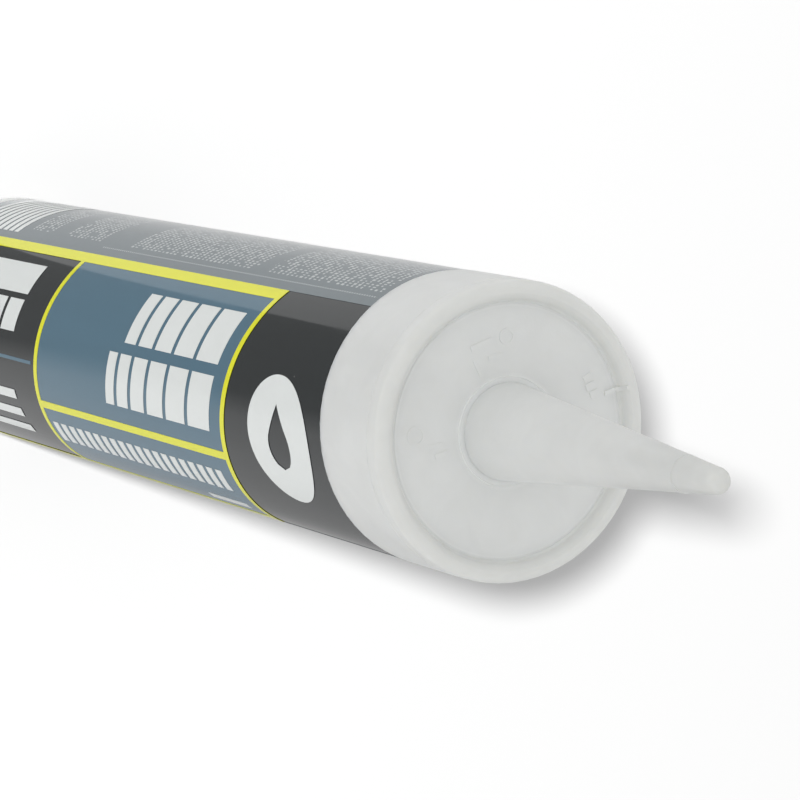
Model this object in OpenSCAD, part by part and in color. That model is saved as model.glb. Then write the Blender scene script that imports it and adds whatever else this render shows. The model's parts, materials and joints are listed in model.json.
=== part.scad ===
// Construction adhesive cartridge, standing on its rear rim with the nozzle up.
// The origin is the middle of the rear rim and +Z runs along the barrel. Millimetres.
// Places on the label are given as an arc, measured round the barrel from the
// meridian that faces -Y and positive towards +X, and as a distance back from the
// label's front edge.

/* [Barrel] */
// Outside radius of the barrel
barrel_r = 25; // [22:0.5:35]
// Length from the rear rim to the front of the rim round the face
barrel_len = 216; // [205:1:300]
// Thickness of the barrel's wall
wall = 1.5; // [1:0.1:3]
// How much wider the rear socket is than the bore, on the radius
socket_step = 0.3; // [0.1:0.05:0.6]
// Length of the rear socket, where the push plate enters
socket_len = 10; // [6:0.5:12]
// Length of the taper from the socket down to the bore
socket_taper = 1; // [0.5:0.1:2]
// Chamfer on the edges of the rear rim
rim_chamfer = 0.3; // [0.1:0.05:0.5]

/* [Face] */
// Thickness of the end wall under the face
end_wall = 1.8; // [1.5:0.1:3]
// How far the face lies below the front of the rim
face_recess = 2; // [1:0.1:3]
// Length of the shoulder, from the front of the rim back to the crease
shoulder_len = 3.9; // [3:0.1:8]
// Step in radius at the crease
shoulder_step = 0.05; // [0.02:0.01:0.3]
// Width of the rim round the face, with its inner slope
rim_w = 3.7; // [3:0.05:5]
// Width of the flat on top of the rim
rim_flat = 0.3; // [0.2:0.05:0.6]
// Radius of the rim's outer edge
rim_round_out = 1.7; // [0.5:0.1:1.8]
// Radius of the rim's inner edge
rim_round_in = 0.6; // [0.2:0.1:0.8]
// Width of the groove between the rim's slope and the face
groove_w = 0.3; // [0.2:0.05:1]
// Depth of the groove below the face
groove_depth = 0.06; // [0.04:0.02:0.4]
// Direction of the rib that climbs from the face to the rim, degrees from +X
rib_angle = 121; // [100:1:250]
// Length of the rib over the face, inward from the groove
rib_reach = 2; // [1:0.5:6]
// Width of the rib
rib_w = 0.7; // [0.5:0.1:2]
// Height of the rib above the face
rib_h = 0.35; // [0.2:0.05:0.8]
// Height of the marks above the face
face_mark_h = 0.12; // [0.08:0.02:0.4]
// Width of the line of the round marks
face_mark_w = 0.35; // [0.2:0.05:0.8]

/* [Nozzle] */
// Length of the nozzle from the face to its tip
nozzle_len = 64.7; // [50:0.5:90]
// Radius of the nozzle where it leaves the face
nozzle_root_r = 8.1; // [6:0.1:10]
// Radius of the round end of the tip
nozzle_tip_r = 2.1; // [1.8:0.05:3.5]
// Thickness of the nozzle's wall at its root
nozzle_wall = 1.3; // [1:0.1:2]
// Radius of the passage at its far end
passage_r = 1; // [0.5:0.05:1.1]
// Length of the solid tip beyond the passage
tip_solid = 6; // [4:0.5:12]
// Radius of the bead round the nozzle's root
bead_r = 9.1; // [8.4:0.1:11]
// Half thickness of that bead
bead_t = 0.14; // [0.1:0.02:0.5]
// Distance of the cutting mark's ring from the face
mark_at = 52; // [20:0.5:55]
// Length of the cutting mark's ring
mark_len = 2.5; // [1:0.5:4]
// Height of the cutting mark's ring at its front edge
mark_h = 0.1; // [0.05:0.01:0.4]

/* [Plunger] */
// Running clearance between the plunger's lips and the bore, on the radius
plunger_gap = 0.05; // [0.01:0.01:0.1]
// Length of the plunger
plunger_len = 22; // [12:0.5:30]
// Thickness of the plunger's skirt
plunger_wall = 1.3; // [1:0.1:2.5]
// Thickness of the plunger's front
plunger_floor = 1.6; // [1:0.1:3]
// Length of each sealing lip
lip_len = 3; // [1.5:0.5:5]
// Height of the lips above the skirt
lip_h = 0.4; // [0.2:0.05:0.8]

/* [Adhesive] */
// Length of the fill
fill_len = 175.8; // [100:0.2:178]
// Gap round the fill
fill_gap = 0.05; // [0.02:0.01:0.2]
// Gap between the fill and the plunger
seat_gap = 0.3; // [0.1:0.05:0.5]

/* [Label] */
// Thickness of the film
film_t = 0.08; // [0.05:0.01:0.2]
// Thickness of each layer of print
ink_t = 0.04; // [0.03:0.005:0.08]
// Gap between the layers of the label, and between the film and the barrel
layer_gap = 0.02; // [0.015:0.005:0.04]
// Plain stretch between the rear rim and the label
label_rear = 6; // [2:0.5:15]
// Plain stretch between the front of the rim and the label
label_front = 20.4; // [10:0.2:30]

/* [Print] */
// Slant of the borders and bars: mm back for each mm of arc
slant = 0.275; // [0:0.005:0.4]
// Arc at the upper edge of the printed front
front_from = -16; // [-20:0.5:-14]
// Arc at the lower edge of the printed front
front_to = 36; // [32:0.5:38]
// Width of the long rules along the edges of the front
rule_w = 2.3; // [1:0.1:4]
// Arc of the middle rule
mid_rule = 16; // [14:0.5:18]
// Width of the middle rule
mid_rule_w = 1.6; // [1:0.1:2.5]
// Distance of the panel's front border from the label's front edge
border_front = 34.9; // [25:0.5:40]
// Distance of the panel's rear border from the label's front edge
border_rear = 119.6; // [110:0.5:125]
// Width of the two borders
border_w = 1.6; // [0.8:0.1:3]
// Space between the panel's front border and the bars behind it
bar_margin = 4.5; // [3:0.5:8]
// Arc at the upper edge of the first row of bars
row_from = -9.8; // [-11:0.1:-9]
// Height of each of the two rows of bars, along the arc
row_h = 10.1; // [8:0.1:10.5]
// Gap between the two rows of bars
row_gap = 2.1; // [1:0.1:3]
// Width of the first bar of a row
bar_w = 9; // [7:0.5:10]
// How much narrower each bar is than the one before it
bar_less = 1.05; // [0.5:0.05:1.2]
// Gap between two bars
bar_gap = 1.4; // [1:0.05:2]
// Number of bars in the first row
row1_count = 5; // [1:1:5]
// Number of bars in the second row
row2_count = 6; // [1:1:6]
// Gap between the middle rule and the small bars
small_margin = 3.1; // [1:0.1:4]
// Height of the small bars
small_h = 5.1; // [3:0.1:6]
// Width of a small bar
small_w = 2.5; // [1.5:0.1:3]
// Number of small bars
small_count = 20; // [1:1:20]
// Gap between the small bars and the short line below them
line_gap = 4; // [2:0.1:5]
// Width of the short line
line_w = 1.7; // [1:0.1:2]
// Length of the short line
line_len = 16; // [8:1:60]
// Space between the panel's rear border and the print behind it
rear_margin = 11.8; // [6:0.2:20]
// Bare stretch between the print and the label's rear edge
end_margin = 5.6; // [3:0.2:10]
// Arc at the upper edge of the rear heading
rear_from = -11; // [-12:0.5:-10]
// Height of the rear heading and of the bars below it
rear_h = 6.5; // [5:0.1:7]
// Gap between the rear heading and the bars below it
rear_gap = 1.2; // [0.8:0.1:3]
// Width of the first of the rear bars
rear_bar_w = 7; // [5:0.5:8]
// Number of rear bars
rear_count = 6; // [1:1:6]
// Arc of the thin line below the rear bars
thin_arc = 8.2; // [6:0.2:10]
// Width of the thin line
thin_w = 0.7; // [0.4:0.1:1.5]
// Arc at the upper edge of the rear lines
lines_from = 15.3; // [12:0.1:17]
// Height of each rear line
lines_h = 2.1; // [1:0.1:3]
// Gap between the rear lines
lines_gap = 2.3; // [1:0.1:3]
// Radius of the round emblem
emblem_r = 11.5; // [8:0.5:12]
// Distance of the emblem from the label's front edge
emblem_back = 16.5; // [13:0.5:18]
// Arc of the emblem's middle
emblem_arc = 11; // [5:0.5:18]
// Radius of the round end of the emblem's drop
drop_r = 4; // [2:0.5:5]
// Distance of the drop's point from the emblem's middle
drop_tail = 6.5; // [5:0.5:7.5]
// Gap between the printed front and the striped block beside it
block_gap = 2; // [1:0.5:6]
// Height of the striped block, along the arc
block_h = 18; // [8:1:30]
// Width of a stripe
stripe_w = 2; // [1:0.1:2.8]
// Distance from one stripe to the next
stripe_pitch = 3; // [2:0.1:4]
// Number of stripes
stripe_count = 9; // [2:1:9]

/* [Hidden] */
$fn = 180;
eps = 0.01;

bore_r = barrel_r - wall;
socket_r = bore_r + socket_step;
face_z = barrel_len - face_recess;          // the face
inside_z = face_z - end_wall;               // inner side of the end wall
crease_z = barrel_len - shoulder_len;
shoulder_r = barrel_r - shoulder_step;
rim_in_r = shoulder_r - rim_w;
crest_r = shoulder_r - rim_round_out - rim_flat; // inner edge of the rim's flat
face_r = rim_in_r - groove_w;
low_z = face_z - groove_depth - eps;        // just below the groove's bottom
tip_z = face_z + nozzle_len - nozzle_tip_r; // middle of the tip's round end
passage_z = face_z + nozzle_len - tip_solid;
nozzle_way = [nozzle_root_r, tip_z - face_z];
nozzle_lean = atan2(nozzle_way[0], nozzle_way[1]) - lean_past(nozzle_way, nozzle_tip_r);

fill_z1 = inside_z - fill_gap;
fill_z0 = fill_z1 - fill_len;
plunger_z1 = fill_z0 - seat_gap;
plunger_z0 = plunger_z1 - plunger_len;
lip_r = bore_r - plunger_gap;
skirt_r = lip_r - lip_h;

label_z0 = label_rear;
label_z1 = barrel_len - label_front;
ink2_r = barrel_r - ink_t;                  // under the upper layer of print
ink1_r = ink2_r - layer_gap - ink_t;        // under the lower layer of print
film_r = ink1_r - layer_gap;                // outside of the film
seat_r = film_r - film_t - layer_gap;       // barrel under the film
label_len = label_z1 - label_z0;
mm_deg = 180 / PI / barrel_r;               // degrees for each mm of arc
arc_step = 1.7;                             // longest chord of the print

panel_top = front_from + rule_w / 2;        // the panel reaches under the rules
panel_low = front_to - rule_w / 2;
bars_back = border_front + border_w + bar_margin;
row2_from = row_from + row_h + row_gap;
small_from = mid_rule + mid_rule_w + small_margin;
line_from = small_from + small_h + line_gap;
rear_back = border_rear + border_w + rear_margin;
rear_end = label_len - end_margin;
rear_bars_from = rear_from + rear_h + rear_gap;
drop_mid = drop_r / 4;                      // middle of the drop's round end
drop_lean = asin(drop_r / (drop_tail + drop_mid));

// Lean of a line from a point to the side of a circle, from the way to its middle
function lean_past(way, r) = asin(r / norm(way));

// Length of that line up to where it touches the circle
function reach(way, r) = sqrt(pow(norm(way), 2) - pow(r, 2));

// Radius of the nozzle's cone at a height above the face
function cone_r(h) = nozzle_root_r - h * tan(nozzle_lean);

// A point of the label: arc, distance back from its front edge, radius
function on_label(arc, back, r) =
    [r * sin(arc * mm_deg), -r * cos(arc * mm_deg), label_z1 - back];

// Moulded body, as one section turned round the axis

module outer_section() {
    polygon([[0, 0], [barrel_r - rim_chamfer, 0], [barrel_r, rim_chamfer],
             [barrel_r, label_z0], [seat_r, label_z0], [seat_r, label_z1],
             [barrel_r, label_z1], [barrel_r, crease_z], [shoulder_r, crease_z],
             [shoulder_r, face_z - groove_depth], [face_r, face_z - groove_depth],
             [face_r, face_z], [0, face_z]]);
    rim_section();
    nozzle_section();
}

// The rim: a rounded crest with a flat top, and a slope from it down to the groove
module rim_section() {
    crest_z = barrel_len - rim_round_in;
    way = [crest_r - rim_in_r, crest_z - face_z];
    lean = atan2(way[1], way[0]) + lean_past(way, rim_round_in);
    run = reach(way, rim_round_in);
    polygon([[rim_in_r, low_z], [rim_in_r, face_z],
             [rim_in_r + run * cos(lean), face_z + run * sin(lean)], [crest_r, crest_z],
             [crest_r, barrel_len], [shoulder_r - rim_round_out, barrel_len],
             [shoulder_r - rim_round_out, barrel_len - rim_round_out],
             [shoulder_r, barrel_len - rim_round_out], [shoulder_r, low_z]]);
    translate([shoulder_r - rim_round_out, barrel_len - rim_round_out])
        circle(r = rim_round_out);
    translate([crest_r, crest_z]) circle(r = rim_round_in);
}

module nozzle_section() {
    mark_end = mark_at + mark_len;
    cone_h = reach(nozzle_way, nozzle_tip_r) * cos(nozzle_lean);
    polygon([[0, face_z - eps], [nozzle_root_r, face_z - eps], [nozzle_root_r, face_z],
             [cone_r(cone_h), face_z + cone_h], [0, face_z + cone_h]]);
    intersection() {
        translate([0, tip_z]) circle(r = nozzle_tip_r);
        translate([0, tip_z - nozzle_tip_r]) square(2 * nozzle_tip_r);
    }
    polygon([[0, face_z + mark_at], [cone_r(mark_at) - eps, face_z + mark_at],
             [cone_r(mark_end) + mark_h, face_z + mark_end], [0, face_z + mark_end]]);
    translate([bead_r, face_z]) circle(r = bead_t);
}

module inner_section() {
    polygon([[0, -eps], [socket_r + rim_chamfer + eps, -eps], [socket_r, rim_chamfer],
             [socket_r, socket_len], [bore_r, socket_len + socket_taper],
             [bore_r, inside_z], [nozzle_root_r - nozzle_wall, inside_z],
             [passage_r, passage_z], [0, passage_z]]);
}

// Raised marks on the face. Bars: direction, distance out, length, width. Rings:
// direction, distance out, radius.
module face_marks() {
    bars = [[214, 15.3, 1, 4.2], [222, 12, 3.2, 1], [206, 12.6, 0.9, 2.6],
            [123, 17.2, 1.8, 1.2], [128, 16.9, 1.8, 1.2], [133, 17.1, 1.8, 1.2],
            [292, 13.4, 2.6, 0.8], [299, 12.6, 2.6, 0.8]];
    rings = [[196, 15.6, 1.4], [284, 17, 1.6]];
    for (m = bars) rotate(m[0]) translate([m[1], 0, face_z + face_mark_h / 2])
        cube([m[2], m[3], face_mark_h + eps], center = true);
    for (m = rings) rotate(m[0]) translate([m[1], 0, face_z - eps]) difference() {
        cylinder(r = m[2], h = face_mark_h + eps);
        translate([0, 0, -eps]) cylinder(r = m[2] - face_mark_w, h = face_mark_h + 3 * eps);
    }
}

module rib() {
    from = face_r - rib_reach;
    top = barrel_len - 2 * eps;
    rotate(rib_angle) translate([0, rib_w / 2, 0]) rotate([90, 0, 0]) linear_extrude(rib_w)
        polygon([[from, low_z - eps], [from, face_z + rib_h], [face_r, face_z + rib_h],
                 [crest_r - rim_round_in, top], [crest_r, top], [crest_r, low_z - eps]]);
}

module cartridge_body() {
    color("whitesmoke") union() {
        rotate_extrude() difference() {
            outer_section();
            inner_section();
        }
        rib();
        face_marks();
    }
}

module plunger() {
    in_r = skirt_r - plunger_wall;
    color("white") rotate_extrude() translate([0, plunger_z0]) polygon([
        [in_r, 0], [lip_r, 0], [lip_r, lip_len], [skirt_r, lip_len + lip_h],
        [skirt_r, plunger_len - lip_len - lip_h], [lip_r, plunger_len - lip_len],
        [lip_r, plunger_len], [0, plunger_len], [0, plunger_len - plunger_floor],
        [in_r, plunger_len - plunger_floor]]);
}

module adhesive() {
    color("beige") translate([0, 0, fill_z0]) cylinder(r = bore_r - fill_gap, h = fill_len);
}

module label_film() {
    color("#2b2d2d") translate([0, 0, label_z0]) difference() {
        cylinder(r = film_r, h = label_len);
        translate([0, 0, -eps]) cylinder(r = film_r - film_t, h = label_len + 2 * eps);
    }
}

// A strip of print between two radii. Each station is an arc with the distances
// back of the strip's front and rear edges there.
module strip(stations, r0, r1) {
    n = len(stations);
    points = [for (s = stations) each [on_label(s[0], s[2], r0), on_label(s[0], s[1], r0),
                                       on_label(s[0], s[1], r1), on_label(s[0], s[2], r1)]];
    sides = [for (i = [0 : n - 2], j = [0 : 3])
        [4 * i + j, 4 * i + (j + 1) % 4, 4 * i + 4 + (j + 1) % 4, 4 * i + 4 + j]];
    polyhedron(points, concat([[3, 2, 1, 0]], sides, [[4 * n - 4, 4 * n - 3, 4 * n - 2, 4 * n - 1]]),
               convexity = 6);
}

// Stations of a field between two arcs. Its edges lean by k mm back for each mm of arc.
function field(arc0, arc1, front, rear, k0 = slant, k1 = slant) =
    let (n = ceil((arc1 - arc0) / arc_step))
    [for (i = [0 : n]) let (a = arc0 + (arc1 - arc0) * i / n) [a, front + k0 * a, rear + k1 * a]];

module lower_ink(stations) { strip(stations, ink1_r, ink1_r + ink_t); }
module upper_ink(stations) { strip(stations, ink2_r, ink2_r + ink_t); }

// The grey zone behind the printed front, all the way round to it again
module label_back_panel() {
    color("dimgray") lower_ink(field(front_to, front_from + 360 / mm_deg, 0, label_len, 0, 0));
}

module label_blue_panel() {
    color("slategray") {
        lower_ink(field(panel_top, panel_low, border_front + border_w / 2,
                        border_rear + border_w / 2));
        lower_ink(field(thin_arc, thin_arc + thin_w, border_rear + 2 * border_w, rear_end,
                        slant, 0));
    }
}

module label_yellow_rules() {
    color("khaki") {
        upper_ink(field(front_from, front_from + rule_w, border_front, label_len, slant, 0));
        upper_ink(field(front_to - rule_w, front_to, border_front, label_len, slant, 0));
        upper_ink(field(mid_rule, mid_rule + mid_rule_w, border_front + border_w, border_rear));
        for (back = [border_front, border_rear])
            upper_ink(field(front_from + rule_w, front_to - rule_w, back, back + border_w));
    }
}

// A row of slanted bars: arc at its upper edge, height, distance back of the first
// bar, its width, loss of width from bar to bar, number of bars
module bars(arc, h, back, w, less, count) {
    for (i = [0 : count - 1]) {
        from = back + i * (w + bar_gap) - less * i * (i - 1) / 2;
        upper_ink(field(arc, arc + h, from, from + w - less * i));
    }
}

// A line of print behind the panel, with a slanted front and a straight rear end
module rear_line(arc, h) {
    upper_ink(field(arc, arc + h, rear_back, rear_end, slant, 0));
}

// Half height of the drop that the emblem leaves open, u along its axis
function drop(u) = u < -drop_tail || u > drop_mid + drop_r ? 0
                 : u < drop_mid - drop_r * sin(drop_lean) ? (u + drop_tail) * tan(drop_lean)
                 : sqrt(max(0, pow(drop_r, 2) - pow(u - drop_mid, 2)));

module emblem() {
    n = 40;
    sweep = 174;                            // degrees of each half's round edge
    for (side = [-1, 1]) upper_ink([for (i = [0 : n])
        let (t = sweep * (i / n - 0.5), u = emblem_r * sin(t), h = emblem_r * cos(t), d = drop(u))
        side < 0 ? [emblem_arc + u, emblem_back - h, emblem_back - d]
                 : [emblem_arc + u, emblem_back + d, emblem_back + h]]);
}

module striped_block() {
    to = front_from - block_gap;
    for (i = [0 : stripe_count - 1]) {
        back = rear_end - stripe_w - i * stripe_pitch;
        upper_ink(field(to - block_h, to, back, back + stripe_w, 0, 0));
    }
}

module label_white_print() {
    color("white") {
        bars(row_from, row_h, bars_back, bar_w, bar_less, row1_count);
        bars(row2_from, row_h, bars_back, bar_w, bar_less, row2_count);
        bars(small_from, small_h, bars_back, small_w, 0, small_count);
        upper_ink(field(line_from, line_from + line_w, bars_back, bars_back + line_len));
        rear_line(rear_from, rear_h);
        bars(rear_bars_from, rear_h, rear_back, rear_bar_w, bar_less / 2, rear_count);
        for (i = [0 : 2]) rear_line(lines_from + i * (lines_h + lines_gap), lines_h);
        emblem();
        striped_block();
    }
}

cartridge_body();
label_film();
label_back_panel();
label_blue_panel();
label_yellow_rules();
label_white_print();
plunger();
adhesive();
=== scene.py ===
"""Looks of a construction adhesive cartridge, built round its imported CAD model.

Lengths are metres in the model's own frame: the cartridge stands on its rear rim,
+Z runs along the barrel, and the printed front of the label faces -Y. Places on the
label are an arc in millimetres round the barrel from the meridian that faces -Y,
positive towards +X, and a distance in millimetres back from the label's front edge.
"""

import json
import math

import bmesh
import bpy
from mathutils import Matrix, Vector

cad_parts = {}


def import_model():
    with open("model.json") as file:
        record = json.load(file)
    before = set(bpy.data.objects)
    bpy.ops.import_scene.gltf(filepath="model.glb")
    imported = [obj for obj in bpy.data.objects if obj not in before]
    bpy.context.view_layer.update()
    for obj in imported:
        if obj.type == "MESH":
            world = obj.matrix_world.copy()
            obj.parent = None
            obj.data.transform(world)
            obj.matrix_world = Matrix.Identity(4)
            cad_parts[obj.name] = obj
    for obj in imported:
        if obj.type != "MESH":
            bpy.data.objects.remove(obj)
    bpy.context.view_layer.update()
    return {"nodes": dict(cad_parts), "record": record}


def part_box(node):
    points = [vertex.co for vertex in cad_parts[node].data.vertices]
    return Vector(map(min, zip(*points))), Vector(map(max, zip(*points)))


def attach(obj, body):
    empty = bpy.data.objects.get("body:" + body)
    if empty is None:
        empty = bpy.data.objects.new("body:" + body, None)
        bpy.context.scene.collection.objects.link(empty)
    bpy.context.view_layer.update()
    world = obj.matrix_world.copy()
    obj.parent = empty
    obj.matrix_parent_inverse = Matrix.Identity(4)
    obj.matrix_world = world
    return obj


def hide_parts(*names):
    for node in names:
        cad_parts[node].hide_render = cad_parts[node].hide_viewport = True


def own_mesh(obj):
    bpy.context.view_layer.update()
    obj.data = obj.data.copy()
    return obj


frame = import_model()
nodes = frame["nodes"]

MM = 0.001
BARREL_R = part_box("cartridge_body")[1].x
TIP_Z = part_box("cartridge_body")[1].z
RIM_Z = next(mount["pos_m"][2] for mount in frame["record"]["mounts"]
             if mount["name"] == "front_rim")
LABEL_FRONT_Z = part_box("label_film")[1].z
ROUND = 2 * math.pi * BARREL_R / MM         # millimetres of arc round the barrel

# Camera: the photograph's viewing angle, with the cartridge's length across the picture
CAMERA_AT = Vector((0.0, -0.3056, 0.7335))
CAMERA_SWING = math.radians(0.188)          # about the vertical
CAMERA_TILT = math.radians(28.73)           # up from looking straight down
CAMERA_ROLL = math.radians(103.14)          # about the line of sight
CAMERA_SENSOR = 36.0
PICTURE_SIDE = 800                          # pixels
FOCAL_LENGTH = 3700                         # pixels
CAMERA_RANGE = (0.05, 20.0)

# Light, as the brightness of a white surface that it lights alone
FRONT_LIGHT = 1.14                          # of the sky on the side of -Y
BACK_LIGHT = 0.82                           # of the sky on the side of +Y
KEY_LIGHT = 1.50                            # for a surface that faces the lamp
KEY_WATTS = 4 * math.pi ** 2                # for a brightness of 1 at an even falloff
KEY_BESIDE_CAMERA = (0.0095, 0.0115)        # towards the picture's left and top
KEY_SIZE = 0.024
FLOOR_SIZE = 6.0
FLOOR_TONE = 0.45
FLOOR_HOLE_R = 0.022                        # open under the barrel's bore, out of sight
FLOOR_CLOUD_SCALE = 3.0
FLOOR_SPREAD = 0.005

# Sheets on the floor that only show in the label's gloss: azimuths from -Y towards +X
# in degrees, tone, tone at the far end, and half the width of the change between them
CARDS = (("card_back", -180.0, -45.0, 0.70, 0.80, 20.0),
         ("card_front", -45.0, 35.0, 0.33, 0.70, 9.0),
         ("card_low", 35.0, 120.0, 0.70, 0.42, 28.0),
         ("card_edge", 120.0, 180.0, 0.42, 0.42, 10.0))
CARD_RADII = (0.027, 0.6)
CARD_STEPS = 40
CARD_HEIGHT = 0.0005


def placed(name, data):
    """A new object in the scene."""
    piece = bpy.data.objects.new(name, data)
    bpy.context.scene.collection.objects.link(piece)
    return piece


def camera():
    data = bpy.data.cameras.new("camera")
    data.sensor_width = CAMERA_SENSOR
    data.lens = CAMERA_SENSOR * FOCAL_LENGTH / PICTURE_SIDE
    data.clip_start, data.clip_end = CAMERA_RANGE
    seen = placed("camera", data)
    turn = (Matrix.Rotation(CAMERA_SWING, 4, "Z") @ Matrix.Rotation(CAMERA_TILT, 4, "X")
            @ Matrix.Rotation(CAMERA_ROLL, 4, "Z"))
    seen.matrix_world = Matrix.Translation(CAMERA_AT) @ turn
    bpy.context.scene.camera = seen
    return seen


# Shader helpers

def add(tree, kind, inputs=None, **settings):
    """Adds a node. A value in inputs is a number, a colour or another node's output."""
    node = tree.nodes.new("ShaderNode" + kind)
    for key, value in settings.items():
        setattr(node, key, value)
    for key, value in (inputs or {}).items():
        if isinstance(value, bpy.types.NodeSocket):
            tree.links.new(value, node.inputs[key])
        else:
            node.inputs[key].default_value = value
    return node


def calc(tree, operation, *values):
    """The result of one step of arithmetic."""
    inputs = {i: value for i, value in enumerate(values)}
    return add(tree, "Math", inputs, operation=operation).outputs[0]


def between(tree, value, low, high):
    """1 where value lies between low and high, else 0."""
    above = calc(tree, "GREATER_THAN", value, low)
    below = calc(tree, "LESS_THAN", value, high)
    return calc(tree, "MULTIPLY", above, below)


def ramp(tree, value, from_low, from_high, to_low, to_high):
    """Runs evenly from one result to the other as value runs between two limits, and
    stays there beyond them."""
    inputs = {"Value": value, "From Min": from_low, "From Max": from_high,
              "To Min": to_low, "To Max": to_high}
    return add(tree, "MapRange", inputs).outputs["Result"]


def mix(tree, factor, first, second):
    """The first colour where factor is 0, the second where it is 1."""
    node = add(tree, "Mix", {0: factor, 6: first, 7: second}, data_type="RGBA")
    return node.outputs[2]


def noise(tree, place, scale, detail=2.0, distortion=0.0):
    inputs = {"Vector": place, "Scale": scale, "Detail": detail, "Distortion": distortion}
    return add(tree, "TexNoise", inputs).outputs["Fac"]


def tinted(tree, tone, factor, low, high):
    """A colour whose brightness runs from low to high times tone as factor goes 0 to 1."""
    colours = [tuple(c * share for c in tone) + (1.0,) for share in (low, high)]
    return mix(tree, factor, *colours)


def surface(name):
    """A material: itself, its tree, its Principled shader and its place in metres."""
    made = bpy.data.materials.new(name)
    made.use_nodes = True
    tree = made.node_tree
    place = add(tree, "TexCoord").outputs["Object"]
    return made, tree, tree.nodes["Principled BSDF"], place


def bumped(tree, shader, *layers):
    """Chains bumps, each a height and the depth in metres that a height of 1 means."""
    normal = None
    for height, depth in layers:
        inputs = {"Height": height, "Strength": 1.0, "Distance": depth}
        if normal is not None:
            inputs["Normal"] = normal
        normal = add(tree, "Bump", inputs).outputs["Normal"]
    tree.links.new(normal, shader.inputs["Normal"])


def split(tree, place):
    """The place's X, Y and Z."""
    return add(tree, "SeparateXYZ", {0: place}).outputs


def from_axis(tree, place):
    """Distance from the cartridge's axis."""
    level = add(tree, "VectorMath", {0: place, 1: (1.0, 1.0, 0.0)}, operation="MULTIPLY")
    return add(tree, "VectorMath", {0: level.outputs[0]}, operation="LENGTH").outputs["Value"]


def round_axis(tree, place):
    """Angle round the axis from the meridian that faces -Y, positive towards +X."""
    xyz = split(tree, place)
    return calc(tree, "ARCTAN2", xyz["X"], calc(tree, "MULTIPLY", xyz["Y"], -1.0))


def label_place(tree, place):
    """Arc and distance back on the label, in millimetres."""
    arc = calc(tree, "MULTIPLY", round_axis(tree, place), BARREL_R / MM)
    down = calc(tree, "SUBTRACT", LABEL_FRONT_Z, split(tree, place)["Z"])
    return arc, calc(tree, "DIVIDE", down, MM)


# Materials. A noise has a scale in features per metre and, where they aren't the usual
# ones, a detail and a distortion. A depth is in metres, and a spread is how far a value
# goes up and down.

NOISE_BODY = (0.3, 0.7)                     # most of a noise lies between these
PLASTIC_IOR = 1.5

MOULDING_TONE = (0.656, 0.666, 0.652)
MOULDING_ROUGHNESS = 0.40
PLUNGER_TONE = (0.66, 0.67, 0.66)
PLUNGER_ROUGHNESS = 0.45
CLOUD = (55.0, 3.0, 0.8)
BLOTCH = (140.0, 2.0, 1.5)
GRAIN_SCALE = 2600.0
CLOUD_SHARE = 0.55                          # of the clouds in the tone; the rest is blotches
MOULDED_SPREAD = 0.08
MOULDED_ROUGH_SPREAD = 0.05
SCATTER_WEIGHT = 0.6
SCATTER_REACH = 0.004
SCATTER_COLOURS = (1.0, 0.95, 0.85)
CLOUD_DEPTH = 0.00016
GRAIN_DEPTH = 0.000012

FILM_BLACK = (0.013, 0.0165, 0.0175)
PRINT_GREY = (0.142, 0.172, 0.186)
PRINT_BLUE = (0.070, 0.145, 0.202)
PRINT_YELLOW = (0.72, 0.715, 0.014)
PRINT_WHITE = (0.70, 0.725, 0.715)
FILM_ROUGHNESS = 0.07
FILM_SHINE_SCALE = 70.0
FILM_SHINE = (-0.02, 0.04)                  # added to the roughness, low and high
WAVE = (38.0, 1.5)
WAVE_STRETCH = 0.35                         # waves are longer along the barrel
WAVE_DEPTH = 0.00006
PEEL_SCALE = 900.0
PEEL_DEPTH = 0.0000016
WEB_SCALE = 260.0
WEB_STRETCH = 0.06                          # streaks run along the printed web
WEB_SHARE = 0.6                             # of the streaks in the ink; the rest is grain
INK_GRAIN_SCALE = 1500.0
BLACK_SPREAD = 0.25
GREY_SPREAD = 0.08
BLUE_SPREAD = 0.06
YELLOW_SPREAD = 0.04
WHITE_SPREAD = 0.03

SPECK_SCALE = 230.0
SPECK_REACH = 0.035                         # in the pattern's own units
SPECK_RARITY = 0.82                         # share of places without a speck
SPECK_TONE = (0.18, 0.18, 0.18, 1.0)
SPECK_STRENGTH = 0.5

PASTE_TONE = (0.68, 0.62, 0.50)
PASTE_RANGE = (0.92, 1.05)
PASTE_ROUGHNESS = (0.28, 0.42)
LUMPS = (160.0, 3.0)
LUMP_DEPTH = 0.0004


def varied(tree, shader, factor, low, high):
    """Roughness that runs from low to high with a noise."""
    tree.links.new(ramp(tree, factor, *NOISE_BODY, low, high), shader.inputs["Roughness"])


def blend(tree, first, second, share):
    """Two noises mixed, the first with this share of the whole."""
    return calc(tree, "ADD", calc(tree, "MULTIPLY", first, share),
                calc(tree, "MULTIPLY", second, 1.0 - share))


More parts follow.
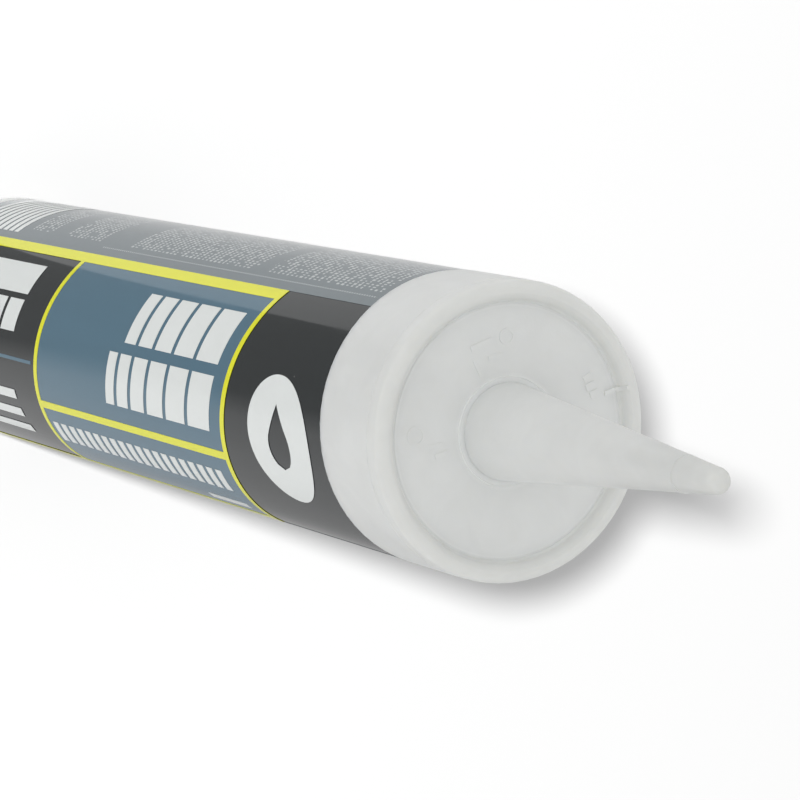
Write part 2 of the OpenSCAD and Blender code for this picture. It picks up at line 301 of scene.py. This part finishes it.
def polyethylene(name, tone, roughness, painted_shading=None):
    """Moulded polyethylene: satin, translucent, a little cloudy, with faint flow marks.
    The tone is lowered by painted shade, a function of the place, where one is given; where
    that function is negative it paints light instead."""
    made, tree, shader, place = surface(name)
    cloud = noise(tree, place, *CLOUD)
    blotch = noise(tree, place, *BLOTCH)
    colour = tinted(tree, tone, blend(tree, cloud, blotch, CLOUD_SHARE),
                    1.0 - MOULDED_SPREAD, 1.0 + MOULDED_SPREAD)
    if painted_shading is not None:
        kept = calc(tree, "SUBTRACT", 1.0, painted_shading(tree, place))
        colour = add(tree, "VectorMath", {0: colour, "Scale": kept},
                     operation="SCALE").outputs[0]
    tree.links.new(colour, shader.inputs["Base Color"])
    varied(tree, shader, cloud, roughness - MOULDED_ROUGH_SPREAD,
           roughness + MOULDED_ROUGH_SPREAD)
    shader.inputs["IOR"].default_value = PLASTIC_IOR
    shader.inputs["Subsurface Weight"].default_value = SCATTER_WEIGHT
    shader.inputs["Subsurface Radius"].default_value = SCATTER_COLOURS
    shader.inputs["Subsurface Scale"].default_value = SCATTER_REACH
    grain = noise(tree, place, GRAIN_SCALE)
    bumped(tree, shader, (cloud, CLOUD_DEPTH), (grain, GRAIN_DEPTH))
    return made


# Painted light and shade in the moulding's tone, as shares of it: painted shade darkens the
# rim and the nozzle, painted light brightens the face and two rings
FACE_PAINTED_LIGHT = 0.06
RIM_PAINTED_SHADE = 0.05
NOZZLE_PAINTED_SHADE = 0.13                          # at the tip
RIM_FROM = BARREL_R - 0.0042                # radius where the rim begins
RIM_HEIGHTS = (RIM_Z - 0.0022, RIM_Z - 0.0006)
NOZZLE_HEIGHTS = (RIM_Z + 0.0005, TIP_Z - 0.0087)
# Radius, reach and gain of the rings of painted light, paler in the groove and round the
# nozzle's root against the shade there, and the heights where the gain ends
PAINTED_LIGHT_RINGS = ((BARREL_R - 0.0038, 0.0008, 0.16), (0.0087, 0.0011, 0.14))
PAINTED_LIGHT_HEIGHTS = (RIM_Z - 0.0017, RIM_Z - 0.0006)


def painted_light_and_shade(tree, place):
    """Painted shade makes the rim and the nozzle darker than the barrel; painted light makes
    the face, and rings in the groove and round the nozzle's root, paler.
    """
    height, radius = split(tree, place)["Z"], from_axis(tree, place)
    on_rim = calc(tree, "GREATER_THAN", radius, RIM_FROM)
    on_face = calc(tree, "SUBTRACT", 1.0, on_rim)
    rim = calc(tree, "MULTIPLY", on_rim,
               ramp(tree, height, *RIM_HEIGHTS, 0.0, RIM_PAINTED_SHADE))
    inside = calc(tree, "MULTIPLY", on_face,
                  ramp(tree, height, *NOZZLE_HEIGHTS, -FACE_PAINTED_LIGHT, NOZZLE_PAINTED_SHADE))
    painted_shading = calc(tree, "ADD", rim, inside)
    low = ramp(tree, height, *PAINTED_LIGHT_HEIGHTS, 1.0, 0.0)
    # Rings of painted light in the groove and round the nozzle's root
    for ring, reach, gain in PAINTED_LIGHT_RINGS:
        away = calc(tree, "ABSOLUTE", calc(tree, "SUBTRACT", radius, ring))
        glow = calc(tree, "MULTIPLY", ramp(tree, away, 0.0, reach, gain, 0.0), low)
        painted_shading = calc(tree, "SUBTRACT", painted_shading, glow)
    return painted_shading


def stretched(tree, place, share):
    """The place for a pattern that is 1 / share times as long along the barrel."""
    return add(tree, "Mapping", {"Vector": place, "Scale": (1.0, 1.0, share)}).outputs[0]


def film_gloss(tree, shader, place):
    """The gloss of the label's film, with its slow waves and fine orange peel."""
    wave = noise(tree, stretched(tree, place, WAVE_STRETCH), *WAVE)
    peel = noise(tree, place, PEEL_SCALE)
    varied(tree, shader, noise(tree, place, FILM_SHINE_SCALE),
           *(FILM_ROUGHNESS + change for change in FILM_SHINE))
    shader.inputs["IOR"].default_value = PLASTIC_IOR
    bumped(tree, shader, (wave, WAVE_DEPTH), (peel, PEEL_DEPTH))


def ink_tone(tree, place, tone, spread):
    """A printed colour, a little uneven in streaks along the web and in fine grain."""
    web = noise(tree, stretched(tree, place, WEB_STRETCH), WEB_SCALE)
    grain = noise(tree, place, INK_GRAIN_SCALE)
    return tinted(tree, tone, blend(tree, web, grain, WEB_SHARE), 1.0 - spread, 1.0 + spread)


def printed(name, tone, spread):
    """Ink under the film's gloss."""
    made, tree, shader, place = surface(name)
    tree.links.new(ink_tone(tree, place, tone, spread), shader.inputs["Base Color"])
    film_gloss(tree, shader, place)
    return made


def black_film(name):
    """Black film, with the few pale specks that show in it."""
    made, tree, shader, place = surface(name)
    specks = add(tree, "TexVoronoi", {"Vector": place, "Scale": SPECK_SCALE}).outputs
    rare = add(tree, "SeparateColor", {0: specks["Color"]}).outputs[0]
    speck = calc(tree, "MULTIPLY",
                 calc(tree, "LESS_THAN", specks["Distance"], SPECK_REACH),
                 calc(tree, "GREATER_THAN", rare, SPECK_RARITY))
    black = ink_tone(tree, place, FILM_BLACK, BLACK_SPREAD)
    tree.links.new(mix(tree, calc(tree, "MULTIPLY", speck, SPECK_STRENGTH), black,
                       SPECK_TONE), shader.inputs["Base Color"])
    film_gloss(tree, shader, place)
    return made


# Fine print on the grey zone: rows of small marks that run round the barrel. Lengths
# are in millimetres, and the shares are of a mark's or a row's pitch.
PRINT_START = -16.0                         # arc where the grey zone begins
COLUMN_START = 3.5                          # from there to the first column
COLUMN_PITCH = 51.5
COLUMN_WIDTH = 46.5
ROW_PITCH = 1.75
ROW_GROUPS = ((2.2, 46.0), (50.5, 105.0), (119.5, 137.0), (144.0, 154.0))
SHORTEST_ROW = 0.45                         # share of the column's width
RAGGED_POWER = 3.0                          # the higher it is, the fewer rows are short
MARK_PITCH = 0.66
MARK_WIDTHS = (0.18, 0.40)                  # half widths
MARK_HEIGHTS = (0.14, 0.30)                 # half heights
MARKS_LEFT_OUT = 0.16
MARK_STRENGTH = 0.55
DOTS_ARC = 2.2                              # from the grey zone's edge to the dotted line
DOTS_PITCH = 0.9
DOTS_HALF_WIDTH = 0.15
DOTS_SHARE = (0.3, 0.7)                     # where in its pitch a dot begins and ends
DOTS_REACH = (1.5, 115.0)
COLUMN_KEY = 97.0                           # keeps the columns' random numbers apart
ROW_KEY = 3.0
DRAWS = {"row end": 1.5, "filled": 4.5, "width": 7.5, "height": 9.5}


def random_at(tree, first, second, draw):
    """A random number for each pair of whole numbers, another one in each draw."""
    vector = add(tree, "CombineXYZ", {0: first, 1: second, 2: DRAWS[draw]}).outputs[0]
    return add(tree, "TexWhiteNoise", {"Vector": vector}).outputs["Value"]


def cell(tree, value, pitch):
    """The number of the pitch that value lies in, and how far into it, 0 to 1."""
    at = calc(tree, "DIVIDE", value, pitch)
    return calc(tree, "FLOOR", at), calc(tree, "FRACT", at)


def near_middle(tree, value, reach):
    """1 where value lies within reach of a half, else 0."""
    off = calc(tree, "ABSOLUTE", calc(tree, "SUBTRACT", value, 0.5))
    return calc(tree, "LESS_THAN", off, reach)


def all_of(tree, first, *others):
    """1 where all the values are 1."""
    for other in others:
        first = calc(tree, "MULTIPLY", first, other)
    return first


def fine_print(tree, round_by, back):
    """1 on the small marks of the fine print, 0 between them, from two distances in mm:
    round the barrel from the grey zone's edge, and back from the label's front edge."""
    row, in_row = cell(tree, back, ROW_PITCH)
    along = calc(tree, "SUBTRACT", round_by, COLUMN_START)
    column, _ = cell(tree, along, COLUMN_PITCH)
    along = calc(tree, "SUBTRACT", along, calc(tree, "MULTIPLY", column, COLUMN_PITCH))
    mark, in_mark = cell(tree, along, MARK_PITCH)
    key = calc(tree, "ADD", row, calc(tree, "MULTIPLY", column, COLUMN_KEY))
    ragged = calc(tree, "POWER", random_at(tree, key, ROW_KEY, "row end"), RAGGED_POWER)
    row_end = ramp(tree, ragged, 0.0, 1.0, COLUMN_WIDTH, COLUMN_WIDTH * SHORTEST_ROW)
    filled = calc(tree, "GREATER_THAN", random_at(tree, mark, key, "filled"), MARKS_LEFT_OUT)
    width = ramp(tree, random_at(tree, mark, key, "width"), 0.0, 1.0, *MARK_WIDTHS)
    height = ramp(tree, random_at(tree, mark, key, "height"), 0.0, 1.0, *MARK_HEIGHTS)
    in_group = 0.0
    for low, high in ROW_GROUPS:
        in_group = calc(tree, "MAXIMUM", in_group, between(tree, back, low, high))
    return all_of(tree, near_middle(tree, in_mark, width), near_middle(tree, in_row, height),
                  filled, between(tree, along, 0.0, row_end), in_group)


def dotted_line(tree, round_by, back):
    """1 on the dots of the line beside the grey zone's edge."""
    _, in_dot = cell(tree, back, DOTS_PITCH)
    line = between(tree, round_by, DOTS_ARC - DOTS_HALF_WIDTH, DOTS_ARC + DOTS_HALF_WIDTH)
    return all_of(tree, between(tree, in_dot, *DOTS_SHARE), line,
                  between(tree, back, *DOTS_REACH))


def grey_print(name):
    """The grey zone of the label, with its fine print and dotted line."""
    made, tree, shader, place = surface(name)
    arc, back = label_place(tree, place)
    behind = calc(tree, "SUBTRACT", PRINT_START, arc)
    round_by = calc(tree, "WRAP", behind, ROUND, 0.0)
    marks = calc(tree, "MAXIMUM", fine_print(tree, round_by, back),
                 dotted_line(tree, round_by, back))
    grey = ink_tone(tree, place, PRINT_GREY, GREY_SPREAD)
    tree.links.new(mix(tree, calc(tree, "MULTIPLY", marks, MARK_STRENGTH), grey,
                       (*PRINT_WHITE, 1.0)), shader.inputs["Base Color"])
    film_gloss(tree, shader, place)
    return made


def paste(name):
    """The adhesive, a pale cream paste."""
    made, tree, shader, place = surface(name)
    lumps = noise(tree, place, *LUMPS)
    tree.links.new(tinted(tree, PASTE_TONE, lumps, *PASTE_RANGE),
                   shader.inputs["Base Color"])
    varied(tree, shader, lumps, *PASTE_ROUGHNESS)
    bumped(tree, shader, (lumps, LUMP_DEPTH))
    return made


# Pieces

def finish_node(node, finish):
    """Gives a CAD node that stays its finish."""
    for slot in nodes[node].material_slots:
        slot.material = finish


LABEL_CUTS = 150                            # planes through the axis that cut the label
SAME_PLACE = 1e-7                           # points this close are one
FACING = math.cos(math.radians(25))         # of a face that looks along the radius
FILL_EDGE = 0.0006                          # chamfer on the fill
FILL_STEPS = 96
SHARP_ANGLE = math.radians(35)


def round_mesh(node):
    """A copy of a label node's mesh, cut at short steps and set on its own two radii."""
    mesh = bmesh.new()
    mesh.from_mesh(nodes[node].data)
    bmesh.ops.remove_doubles(mesh, verts=mesh.verts, dist=SAME_PLACE)
    radii = [v.co.xy.length for v in mesh.verts]
    inner, outer = min(radii), max(radii)
    for i in range(LABEL_CUTS):
        turn = math.pi * (i + 0.5) / LABEL_CUTS
        bmesh.ops.bisect_plane(mesh, geom=mesh.verts[:] + mesh.edges[:] + mesh.faces[:],
                               dist=SAME_PLACE, plane_co=(0, 0, 0),
                               plane_no=(math.cos(turn), math.sin(turn), 0))
    for v in mesh.verts:
        radius = v.co.xy.length
        v.co.xy *= (inner if radius < (inner + outer) / 2 else outer) / radius
    data = bpy.data.meshes.new(node + "_fine")
    mesh.to_mesh(data)
    mesh.free()
    return data


def round_normals(data):
    """Makes the faces that look outward or inward shade as one true round."""
    data.shade_smooth()
    normals = [None] * len(data.loops)
    for face in data.polygons:
        for i in face.loop_indices:
            out = data.vertices[data.loops[i].vertex_index].co.copy()
            out.z = 0
            out.normalize()
            facing = face.normal.dot(out)
            if abs(facing) > FACING:
                normals[i] = out if facing > 0 else -out
            else:
                normals[i] = face.normal.copy()
    data.normals_split_custom_set(normals)


def label_piece(node, finish):
    """A printed field of the label, smooth where the CAD node has short flats."""
    data = round_mesh(node)
    round_normals(data)
    data.materials.clear()
    data.materials.append(finish)
    piece = placed(node + "_print", data)
    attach(piece, "cartridge")
    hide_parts(node)
    return piece


def turned(name, section, steps):
    """A closed solid of revolution from a section of (radius, height) points that
    starts and ends on the axis."""
    mesh = bmesh.new()
    rings = []
    for radius, height in section:
        if radius == 0:
            rings.append([mesh.verts.new((0, 0, height))])
            continue
        rings.append([mesh.verts.new((radius * math.cos(2 * math.pi * i / steps),
                                      radius * math.sin(2 * math.pi * i / steps), height))
                      for i in range(steps)])
    for low, high in zip(rings, rings[1:]):
        for i in range(steps):
            j = (i + 1) % steps
            corners = [low[i % len(low)], low[j % len(low)],
                       high[j % len(high)], high[i % len(high)]]
            mesh.faces.new(list(dict.fromkeys(corners)))
    bmesh.ops.recalc_face_normals(mesh, faces=mesh.faces)
    data = bpy.data.meshes.new(name)
    mesh.to_mesh(data)
    mesh.free()
    data.shade_smooth()
    data.set_sharp_from_angle(angle=SHARP_ANGLE)
    return placed(name, data)


def adhesive_fill(finish):
    """The paste, turned to fill the CAD adhesive's box, with a small chamfer at each end."""
    low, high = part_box("adhesive")
    radius, inner = high.x, high.x - FILL_EDGE
    section = [(0, low.z), (inner, low.z), (radius, low.z + FILL_EDGE),
               (radius, high.z - FILL_EDGE), (inner, high.z), (0, high.z)]
    piece = turned("adhesive_fill", section, FILL_STEPS)
    piece.data.materials.append(finish)
    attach(piece, "cartridge")
    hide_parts("adhesive")
    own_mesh(piece)
    return piece


# Stage

def seen_rays(tree):
    """1 for rays that see a thing directly, in a mirror or through glass."""
    path = add(tree, "LightPath").outputs
    seen = calc(tree, "MAXIMUM", path["Is Camera Ray"], path["Is Glossy Ray"])
    return calc(tree, "MAXIMUM", seen, path["Is Transmission Ray"])


def floor():
    """A pale floor, which the key lamp lights up to white. It lets light and sight
    through from below and under the bore, so the cartridge's rear end shows there."""
    half = FLOOR_SIZE / 2
    data = bpy.data.meshes.new("floor")
    data.from_pydata([(-half, -half, 0.0), (half, -half, 0.0), (half, half, 0.0),
                      (-half, half, 0.0)], [], [(0, 1, 2, 3)])
    piece = placed("floor", data)
    made, tree, shader, place = surface("floor")
    cloud = noise(tree, place, FLOOR_CLOUD_SCALE)
    tree.links.new(tinted(tree, (FLOOR_TONE,) * 3, cloud, 1.0 - FLOOR_SPREAD,
                          1.0 + FLOOR_SPREAD), shader.inputs["Base Color"])
    shader.inputs["Roughness"].default_value = 1.0
    shader.inputs["Specular IOR Level"].default_value = 0.0
    in_hole = calc(tree, "LESS_THAN", from_axis(tree, place), FLOOR_HOLE_R)
    below = add(tree, "NewGeometry").outputs["Backfacing"]
    clear = add(tree, "BsdfTransparent").outputs[0]
    shown = add(tree, "MixShader", {0: calc(tree, "MAXIMUM", below, in_hole),
                                    1: shader.outputs[0], 2: clear})
    tree.links.new(shown.outputs[0], tree.nodes["Material Output"].inputs["Surface"])
    data.materials.append(made)
    return piece


def card(name, start, end, tone, end_tone, fade):
    """A sheet on the floor, a sector round the axis, whose tone changes at its far end."""
    points, faces = [], []
    for i in range(CARD_STEPS + 1):
        turn = math.radians(start + (end - start) * i / CARD_STEPS)
        for radius in CARD_RADII:
            points.append((radius * math.sin(turn), -radius * math.cos(turn), CARD_HEIGHT))
        if i:
            last = 2 * i
            faces.append((last - 2, last - 1, last + 1, last))
    data = bpy.data.meshes.new(name)
    data.from_pydata(points, [], faces)
    piece = placed(name, data)
    piece.visible_camera = False
    piece.visible_diffuse = False
    piece.visible_shadow = False
    piece.visible_transmission = False
    made, tree, _, place = surface(name)
    strength = ramp(tree, round_axis(tree, place), math.radians(end - 2 * fade),
                    math.radians(end), tone, end_tone)
    glow = add(tree, "Emission", {"Strength": strength})
    tree.links.new(glow.outputs[0], tree.nodes["Material Output"].inputs["Surface"])
    data.materials.append(made)


def world():
    """White to the eye and in reflections. On the object it is a soft light, a little
    stronger from the front."""
    made = bpy.data.worlds.new("studio")
    made.use_nodes = True
    tree = made.node_tree
    way = add(tree, "TexCoord").outputs["Generated"]
    soft = ramp(tree, split(tree, way)["Y"], -1.0, 1.0, FRONT_LIGHT, BACK_LIGHT)
    strength = ramp(tree, seen_rays(tree), 0.0, 1.0, soft, 1.0)
    tree.links.new(strength, tree.nodes["Background"].inputs["Strength"])
    tree.nodes["Background"].inputs["Color"].default_value = (1.0, 1.0, 1.0, 1.0)
    bpy.context.scene.world = made


def key_lamp(seen, lit):
    """A small lamp beside the camera, as bright far away as near. It only lights the
    floor, where the object throws a narrow soft shadow to the picture's lower right."""
    data = bpy.data.lights.new("key", "POINT")
    data.shadow_soft_size = KEY_SIZE / 2
    data.energy = KEY_LIGHT * KEY_WATTS
    data.use_nodes = True
    tree = data.node_tree
    even = add(tree, "LightFalloff", {"Strength": 1.0}).outputs["Constant"]
    tree.links.new(even, tree.nodes["Emission"].inputs["Strength"])
    lamp = placed("key", data)
    left, up = KEY_BESIDE_CAMERA
    lamp.matrix_world = seen.matrix_world @ Matrix.Translation((-left, up, 0))
    lamp.visible_glossy = False
    receivers = bpy.data.collections.new("key_receivers")
    receivers.objects.link(lit)
    lamp.light_linking.receiver_collection = receivers


seen = camera()
# The moulding's tone carries painted shade on the rim and the nozzle, and painted light on
# the face and two rings
finish_node("cartridge_body",
            polyethylene("moulding", MOULDING_TONE, MOULDING_ROUGHNESS, painted_light_and_shade))
finish_node("plunger", polyethylene("plunger", PLUNGER_TONE, PLUNGER_ROUGHNESS))
label_piece("label_film", black_film("label_black"))
label_piece("label_back_panel", grey_print("label_grey"))
label_piece("label_blue_panel", printed("label_blue", PRINT_BLUE, BLUE_SPREAD))
label_piece("label_yellow_rules", printed("label_yellow", PRINT_YELLOW, YELLOW_SPREAD))
label_piece("label_white_print", printed("label_white", PRINT_WHITE, WHITE_SPREAD))
adhesive_fill(paste("adhesive"))
key_lamp(seen, floor())
for settings in CARDS:
    card(*settings)
world()

scene = bpy.context.scene
scene.view_settings.view_transform = "Standard"
